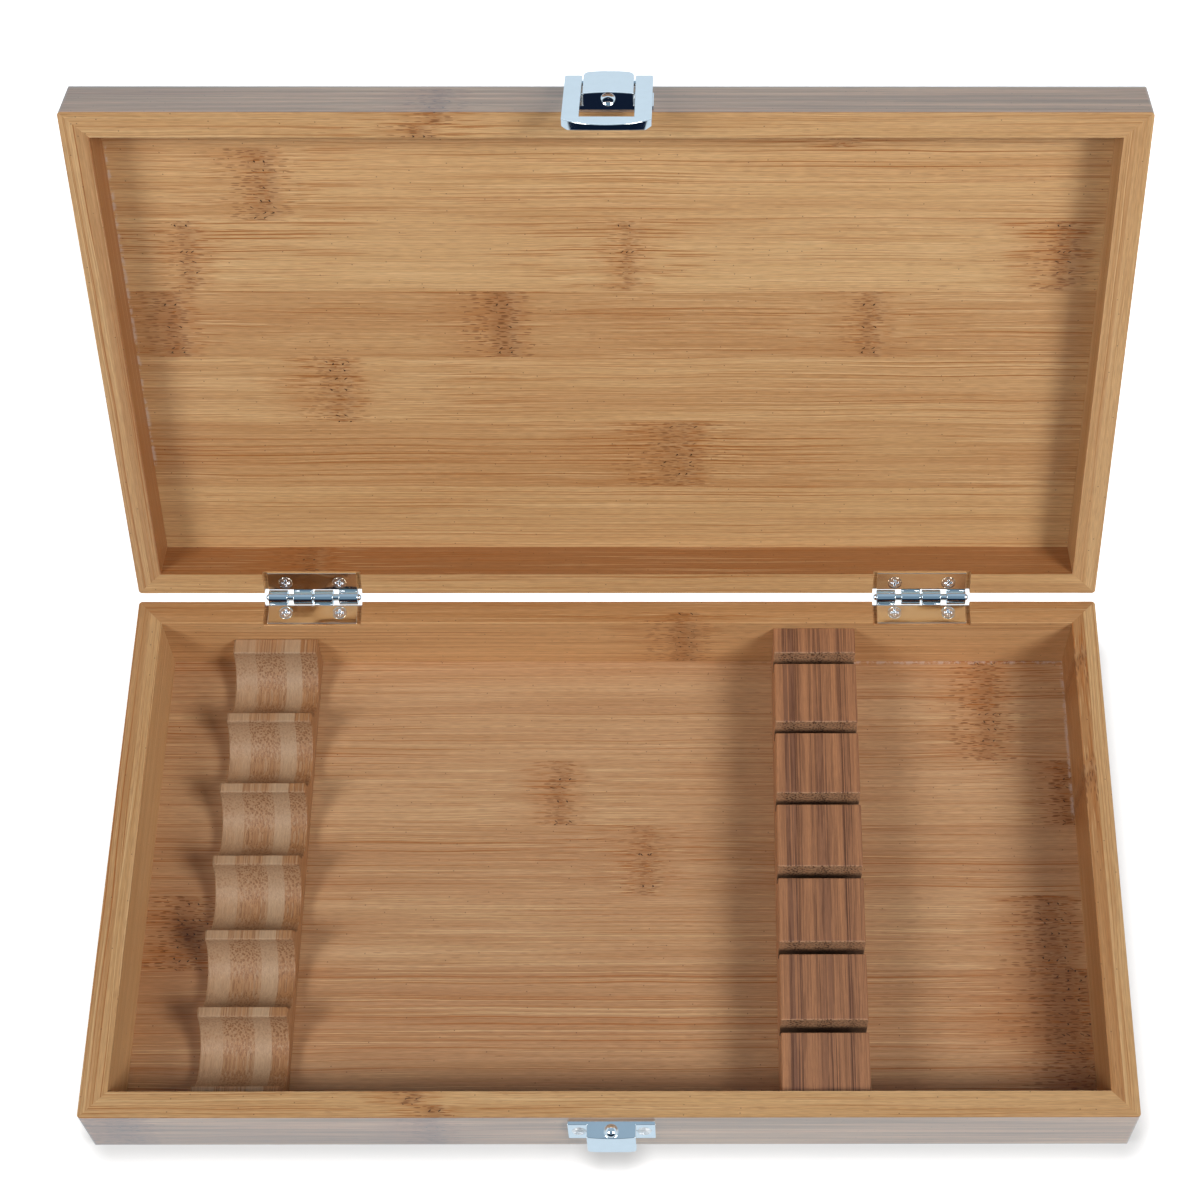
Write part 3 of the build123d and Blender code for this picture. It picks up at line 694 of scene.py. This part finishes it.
# Boards, in millimetres from the middle of the shut box: edges of the strips across the board, each strip's
# tone (0 pale, 1 brown) or its tones at both edges, and its knots, each with its place along the strip, its
# width and how dark it is. A turned board runs from front to rear, and its edges count from right to left.
# Names with a capital are inputs of the grain's group
boards = {
    "lid_top_panel": {
        "onLid": True, "seed": 1, "outward": "up", "turnsGrey": (-0.7, -0.3),
        "glue": [{"along": "Y", "at": -128, "width": 1.0, "from": -60, "to": 40}],
        "edges": [-75.5, -59.2, -38.0, -16.9, 3.8, 25.0, 46.7, 67.9, 75.5],
        "tones": [0.4, 0.25, 0.2, 0.6, 0.38, 0.58, 0.22, 0.4],
        "knots": [
            [(60, 3, 0.5)],
            [(-88.8, 5, 0.7)],
            [(-110.4, 3, 0.6), (4.4, 2.5, 0.5), (118.5, 4, 0.8)],
            [(-116.5, 4, 0.8), (-28.7, 5, 0.9), (68.5, 3.5, 0.6)],
            [(-74.4, 5, 0.5)],
            [(17.8, 8, 0.6)],
            [],
            [(90, 4, 0.6)],
        ],
    },
    "base_floor_panel": {
        "seed": 2, "outward": "down", "turnsGrey": (-0.7, -0.3),
        "glue": [
            {"along": "X", "at": 68.5, "width": 1.1, "from": 56, "to": 128},
            {"along": "Y", "at": 128, "width": 1.0, "from": 18, "to": 68.5},
        ],
        "Pale": colour(205, 166, 124), "Brown": colour(174, 126, 86),
        "edges": [-75.5, -69.0, -47.9, -27.1, -5.2, 16.0, 36.2, 75.5],
        "tones": [0.5, 0.65, 0.8, 0.5, 0.6, 0.35, 0.4],
        "knots": [
            [(-60, 3, 0.5)],
            [(126.0, 7, 1.0)],
            [(123.9, 8, 1.0)],
            [(-115.7, 6, 1.0), (120.0, 6, 0.9)],
            [(8.9, 4, 0.5)],
            [(-15.4, 3.5, 0.6), (126.5, 4, 1.0)],
            [(106.0, 5, 1.0)],
        ],
    },
    "lid_front_wall": {
        "onLid": True, "seed": 3, "outward": "front",
        "edges": [-75.5, -75.3, -72.0, -68.5], "tones": [0.75, 0.35, 0.3],
        "knots": [[(-41.6, 4, 1.0)], [(-42, 3, 0.8)], [(-46.6, 3, 0.8)]],
    },
    "lid_rear_wall": {
        # The first strip, 0.3 mm wide, is the inner face only: its deep tone, with this Brown, is painted
        # shade
        "onLid": True, "seed": 4, "outward": "rear", "Brown": colour(164, 112, 68),
        "edges": [68.5, 68.8, 72.0, 75.5], "tones": [1.3, 0.22, 0.27],
        "knots": [[(-86.2, 5, 0.8)], [(-86.2, 5, 0.8)], []],
    },
    "lid_left_wall": {
        # The first strip, 0.3 mm wide, is the inner face only: its deep tone, with this Brown, is painted
        # shade
        "onLid": True, "turned": True, "seed": 5, "outward": "left", "Brown": colour(164, 112, 68),
        "edges": [128.0, 128.3, 131.2, 135.0], "tones": [1.3, 0.55, 0.3],
    },
    "lid_right_wall": {
        "onLid": True, "turned": True, "seed": 6, "outward": "right",
        "edges": [-135.0, -131.2, -128.0], "tones": [0.3, 0.5],
    },
    "base_front_wall": {
        "seed": 7, "outward": "front",
        "edges": [-75.5, -75.3, -72.0, -68.5], "tones": [0.58, 0.4, 0.35],
        "knots": [[(-124, 6, 1.0), (-45.6, 4, 0.9)], [(-44.3, 3, 0.9)], [(-50.6, 3, 0.9)]],
    },
    "base_rear_wall": {
        # The first strip, 0.3 mm wide, is the inner face only: its pale tone, with this Pale, is painted
        # light
        "seed": 8, "outward": "rear", "Pale": colour(220, 175, 124),
        "edges": [68.5, 68.8, 72.0, 75.5], "tones": [0.3, 0.85, 1.0],
        "knots": [[(19.1, 5, 0.8)], [(19.1, 5, 0.6)], []],
    },
    "base_left_wall": {
        "turned": True, "seed": 9, "outward": "left",
        "edges": [128.0, 131.2, 135.0], "tones": [0.3, 0.6],
    },
    "base_right_wall": {
        "turned": True, "seed": 10, "outward": "right",
        "edges": [-135.0, -131.4, -128.0], "tones": [0.25, 0.95],
        "knots": [[], [(21, 4, 1.0), (57, 3, 0.9)]],
    },
    "handle_rack": {
        "turned": True, "seed": 11,
        "edges": [85.3, 90.0, 94.4, 96.4, 102.8, 108.9],
        "grades": [(1.0, 0.9), (-0.1, 0.0), (0.5, 0.65), (0.8, 0.6), (0.15, 0.35)],
        "Bundles Per Millimetre": 1.4, "Ring": 0.4, "Contrast": 0.75,
        "Pale": colour(180, 148, 116), "Brown": colour(166, 118, 76),
        "Bundle": colour(118, 72, 38), "Sawn Colour": colour(160, 132, 106),
    },
    "blade_rack": {
        # darkBelow: where the painted shade in the slots begins and where it is full, in millimetres up
        "turned": True, "seed": 12, "darkBelow": (18.6, 15.6),
        "edges": [-67.0, -63.1, -61.2, -57.9, -55.1, -53.5, -49.6, -46.5, -44.0],
        "grades": [
            (0.3, 0.55), (0.75, 0.6), (0.3, 0.5), (0.85, 0.7),
            (0.65, 0.5), (0.3, 0.5), (1.0, 0.85), (0.5, 0.0),
        ],
        "Bundles Per Millimetre": 1.25, "Ring": 0.0, "Contrast": 0.95,
        "Pale": colour(186, 131, 91), "Brown": colour(124, 84, 62),
        "Bundle": colour(74, 38, 20), "Sawn Colour": colour(200, 164, 130),
    },
}
for name, board in boards.items():
    dress([name], bambooMaterial("bamboo_" + name, board))
print("bamboo boards dressed")

# Polished metal: its tint, how rough it is, how metallic, and how wavy its sheet is, in millimetres. The
# flats of the hinges are a little yellower than their knuckles, by a painted tint that is partly the
# plating's own yellow and partly a painted reflection of the wood. The flats begin between two distances from
# the hinge's line
brightTint, screwTint = (0.95, 0.95, 0.94, 1.0), (0.97, 0.97, 0.97, 1.0)
metals = {
    "polished_metal": {"tint": brightTint, "roughness": 0.04},
    "polished_sheet": {"tint": brightTint, "roughness": 0.05, "wave": 0.35},
    "screw_metal": {"tint": screwTint, "roughness": 0.16},
    "dull_screw_metal": {"tint": screwTint, "roughness": 0.35, "metallic": 0.45},
}
metalLook = {
    "smudges": (0.35, 0.35, 0.35), "smudgeRoughness": 0.06, "smudgeTint": 0.93,
    "waves": (0.09, 0.14, 0.14), "flats": (2.2, 3.0), "flatsPlatingAndReflectionTint": (1.0, 0.93, 0.76, 1.0),
}


def metalMaterial(name, metal):
    material, tree, shader = newMaterial(name)
    shader.inputs["Metallic"].default_value = metal.get("metallic", 1.0)
    where = stretch(tree, coordinates(tree, "Object"), (toMillimetres,) * 3)
    smudge = noise(tree, where, metalLook["smudges"], detail=3.0, flat=False)
    roughness = maths(tree, "MULTIPLY_ADD", smudge, metalLook["smudgeRoughness"], metal["roughness"])
    feed(tree, roughness, shader.inputs["Roughness"])
    smudged = [part * metalLook["smudgeTint"] for part in metal["tint"][:3]] + [1.0]
    shade = blendColours(tree, smudge, metal["tint"], smudged)
    if "wave" in metal:
        fromPin = vectorMaths(tree, "SUBTRACT", where, hingePoint * toMillimetres)
        fromPin = vectorMaths(tree, "LENGTH", stretch(tree, fromPin, (0.0, 1.0, 1.0)))
        # The flats are tinted yellow: the plating's own yellow, and a painted reflection of the wood
        shade = blendColours(tree, between(tree, fromPin, *metalLook["flats"]), shade, metalLook["flatsPlatingAndReflectionTint"])
        waves = noise(tree, where, metalLook["waves"], detail=0.0, flat=False)
        relief(tree, shader, waves, metal["wave"] / toMillimetres)
    feed(tree, shade, shader.inputs["Base Color"])
    return material


metalOf = {name: metalMaterial(name, metal) for name, metal in metals.items()}
for finish in ("polished_metal", "screw_metal"):
    dress([name for name in nodes if finishOf[name] == finish], metalOf[finish])
dress([name for name in nodes if name.endswith("_leaf")], metalOf["polished_sheet"])
dress(["catch_screws", "latch_plate_screws"], metalOf["dull_screw_metal"])
print("metal dressed")


# For the floor and the world
sideShare = 0.35


def seenWhite(tree, path):
    return maths(tree, "MAXIMUM", path["Is Camera Ray"], path["Is Transmission Ray"])


def towardsRear(tree, x, y):
    # How far to the rear, where being off to a side counts as a share of that
    return maths(tree, "ADD", y, times(tree, maths(tree, "ABSOLUTE", x), sideShare))


# Floor: the camera sees it white, and it keeps the shadow. A painted shadow darkens it close round the foot
# of the box and under the catch, and painted light brightens it where it shows between the base and the
# lid. The metal sees its shine, which is dark in front, where the camera stands
floorLook = {
    "size": 4.0, "albedo": 0.8, "lift": 0.9,
    "foot": (0.1315, 0.071), "footMiddle": (0.0015, -0.0005),
    "contactFrom": 0.003, "contactTo": 0.0155, "contactDark": 0.48,
    "catch": (0.0005, -0.0775), "catchHalf": 0.0025, "catchReach": 0.0095, "catchDark": 0.66,
    "gapFront": (0.075, 0.082), "gapRear": (0.115, 0.1), "gapSide": (0.137, 0.134), "gapLight": 0.3,
    "shine": (0.62, 0.77, 0.9, 1.0), "darkShine": (0.006, 0.012, 0.03, 1.0), "dark": (-0.22, -0.34),
}


def paintedFloorShadow(tree, x, y):
    # Painted shadow: 1 in the open, and less close to the box
    beyond = [outside(tree, value, middle, half)
              for value, middle, half in zip((x, y), floorLook["footMiddle"], floorLook["foot"])]
    fromFoot = vectorMaths(tree, "LENGTH", combine(tree, *beyond, 0.0))
    contact = (floorLook["contactFrom"], floorLook["contactTo"], floorLook["contactDark"])
    paintedShadow = between(tree, fromFoot, *contact, 1.0)
    # Painted shadow under the catch
    catchX, catchY = floorLook["catch"]
    beside = outside(tree, x, catchX, floorLook["catchHalf"])
    fromCatch = combine(tree, beside, maths(tree, "SUBTRACT", y, catchY), 0.0)
    fromCatch = vectorMaths(tree, "LENGTH", fromCatch)
    paintedCatchShadow = between(tree, fromCatch, 0.0, floorLook["catchReach"], floorLook["catchDark"], 1.0)
    return times(tree, paintedShadow, paintedCatchShadow)


def betweenBaseAndLid(tree, x, y):
    inGap = times(tree, between(tree, y, *floorLook["gapFront"]), between(tree, y, *floorLook["gapRear"]))
    return times(tree, inGap, between(tree, maths(tree, "ABSOLUTE", x), *floorLook["gapSide"]))


def floorMaterial():
    material = bpy.data.materials.new("floor")
    material.use_nodes = True
    tree = material.node_tree
    tree.nodes.clear()
    path = tree.nodes.new("ShaderNodeLightPath").outputs
    x, y, _ = separate(tree, coordinates(tree, "Object"))
    paintedShadow = paintedFloorShadow(tree, x, y)
    inGap = betweenBaseAndLid(tree, x, y)
    matte = tree.nodes.new("ShaderNodeBsdfDiffuse")
    feed(tree, threefold(tree, times(tree, paintedShadow, floorLook["albedo"])), matte.inputs["Color"])
    glow = tree.nodes.new("ShaderNodeEmission")
    seen = seenWhite(tree, path)
    lift = times(tree, paintedShadow, floorLook["lift"])
    # Painted light where the floor shows between the base and the lid
    lift = maths(tree, "MULTIPLY_ADD", inGap, floorLook["gapLight"], lift)
    feed(tree, times(tree, seen, lift), glow.inputs["Strength"])
    lit = tree.nodes.new("ShaderNodeAddShader")
    feed(tree, matte.outputs[0], lit.inputs[0])
    feed(tree, glow.outputs[0], lit.inputs[1])
    inFront = between(tree, towardsRear(tree, x, y), *floorLook["dark"])
    shine = tree.nodes.new("ShaderNodeEmission")
    shineColour = blendColours(tree, inFront, floorLook["shine"], floorLook["darkShine"])
    feed(tree, shineColour, shine.inputs["Color"])
    fromAbove = mixShaders(tree, path["Is Glossy Ray"], lit.outputs[0], shine.outputs[0])
    clear = tree.nodes.new("ShaderNodeBsdfTransparent")
    backfacing = tree.nodes.new("ShaderNodeNewGeometry").outputs["Backfacing"]
    output = tree.nodes.new("ShaderNodeOutputMaterial")
    feed(tree, mixShaders(tree, backfacing, fromAbove, clear.outputs[0]), output.inputs["Surface"])
    return material


mesh = bmesh.new()
bmesh.ops.create_grid(mesh, x_segments=1, y_segments=1, size=floorLook["size"] / 2)
floorMesh = bpy.data.meshes.new("floor")
mesh.to_mesh(floorMesh)
mesh.free()
floorMesh.materials.append(floorMaterial())
floor = bpy.data.objects.new("floor", floorMesh)
scene.collection.objects.link(floor)

# World: faint ambient light. The camera sees it white. The metal sees a pale room with a grey ceiling, and
# the dark behind the camera. Only the underside sees what is below. Each pair says how far up or to the rear
# a direction points where one passes into the next
worldLook = {
    "ambient": 0.025, "wall": (0.62, 0.77, 0.9, 1.0),
    "ceiling": (0.3, 0.43, 0.56, 1.0), "ceilingFrom": (0.4, 0.7), "inFront": (-0.15, -0.4),
    "front": (0.16, 0.26, 0.36, 1.0), "frontFrom": (0.2, 0.5),
    "dark": (0.004, 0.01, 0.025, 1.0), "darkUpTo": (0.6, 0.36),
    "below": (0.4, 0.4, 0.4, 1.0), "belowFrom": (-0.12, -0.2), "belowLight": 0.4,
}
world = bpy.data.worlds.new("studio")
scene.world = world


def lightWorld(tree):
    tree.nodes.clear()
    path = tree.nodes.new("ShaderNodeLightPath").outputs
    x, y, z = separate(tree, coordinates(tree, "Generated"))
    upper = between(tree, z, *worldLook["ceilingFrom"])
    rearwards = towardsRear(tree, x, y)
    room = blendColours(tree, upper, worldLook["wall"], worldLook["ceiling"])
    inFront = between(tree, rearwards, *worldLook["inFront"])
    room = paint(tree, room, inFront, between(tree, z, *worldLook["frontFrom"]), worldLook["front"])
    room = paint(tree, room, inFront, between(tree, z, *worldLook["darkUpTo"]), worldLook["dark"])
    below = between(tree, z, *worldLook["belowFrom"])
    room = blendColours(tree, below, room, worldLook["below"])
    mirrored = tree.nodes.new("ShaderNodeBackground")
    feed(tree, room, mirrored.inputs["Color"])
    ambient = tree.nodes.new("ShaderNodeBackground")
    ambientLight = maths(tree, "MULTIPLY_ADD", below, worldLook["belowLight"], worldLook["ambient"])
    feed(tree, ambientLight, ambient.inputs["Strength"])
    backdrop = tree.nodes.new("ShaderNodeBackground")
    backdrop.inputs["Color"].default_value = white
    lit = mixShaders(tree, path["Is Glossy Ray"], ambient.outputs[0], mirrored.outputs[0])
    output = tree.nodes.new("ShaderNodeOutputWorld")
    feed(tree, mixShaders(tree, seenWhite(tree, path), lit, backdrop.outputs[0]), output.inputs["Surface"])


world.use_nodes = True
lightWorld(world.node_tree)

# Soft boxes: where they stand, how wide they are and how much they give
softBoxes = {
    "left": {"place": (-1.0, -0.72, 1.2), "size": 0.6, "watts": 13.0},
    "right": {"place": (1.0, -0.72, 1.2), "size": 0.6, "watts": 19.0},
    "behind": {"place": (-0.1, 1.5, 0.9), "size": 0.8, "watts": 2.2},
}
lampAim = Vector((0.0, 0.02, 0.05))
for name, softBox in softBoxes.items():
    lamp = bpy.data.lights.new("softbox_" + name, "AREA")
    lamp.shape = "SQUARE"
    lamp.size = softBox["size"]
    lamp.energy = softBox["watts"]
    lampObject = bpy.data.objects.new("softbox_" + name, lamp)
    lampObject.location = softBox["place"]
    lampObject.rotation_euler = (lampAim - Vector(softBox["place"])).to_track_quat("-Z", "Y").to_euler()
    scene.collection.objects.link(lampObject)
print("studio lit")

# Camera, placed as the photograph's was. Lens and sensor are in millimetres
cameraLook = {
    "place": (0.02067, -0.28793, 0.6564),
    "right": (1.0, -0.0020, 0.0027), "forward": (0.0034, 0.4951, -0.8688),
    "lens": 77.31, "sensor": 36.0, "shift": (-0.0827, 0.0109), "clip": (0.05, 20.0),
}
camera = bpy.data.cameras.new("camera")
camera.sensor_width = cameraLook["sensor"]
camera.lens = cameraLook["lens"]
camera.shift_x, camera.shift_y = cameraLook["shift"]
camera.clip_start, camera.clip_end = cameraLook["clip"]
cameraObject = bpy.data.objects.new("camera", camera)
cameraForward = Vector(cameraLook["forward"]).normalized()
cameraRight = Vector(cameraLook["right"])
cameraRight = (cameraRight - cameraForward * cameraRight.dot(cameraForward)).normalized()
cameraUp = cameraRight.cross(cameraForward)
cameraTurn = Matrix((cameraRight, cameraUp, -cameraForward)).transposed().to_4x4()
cameraObject.matrix_world = Matrix.Translation(cameraLook["place"]) @ cameraTurn
scene.collection.objects.link(cameraObject)
scene.camera = cameraObject
print("camera set")
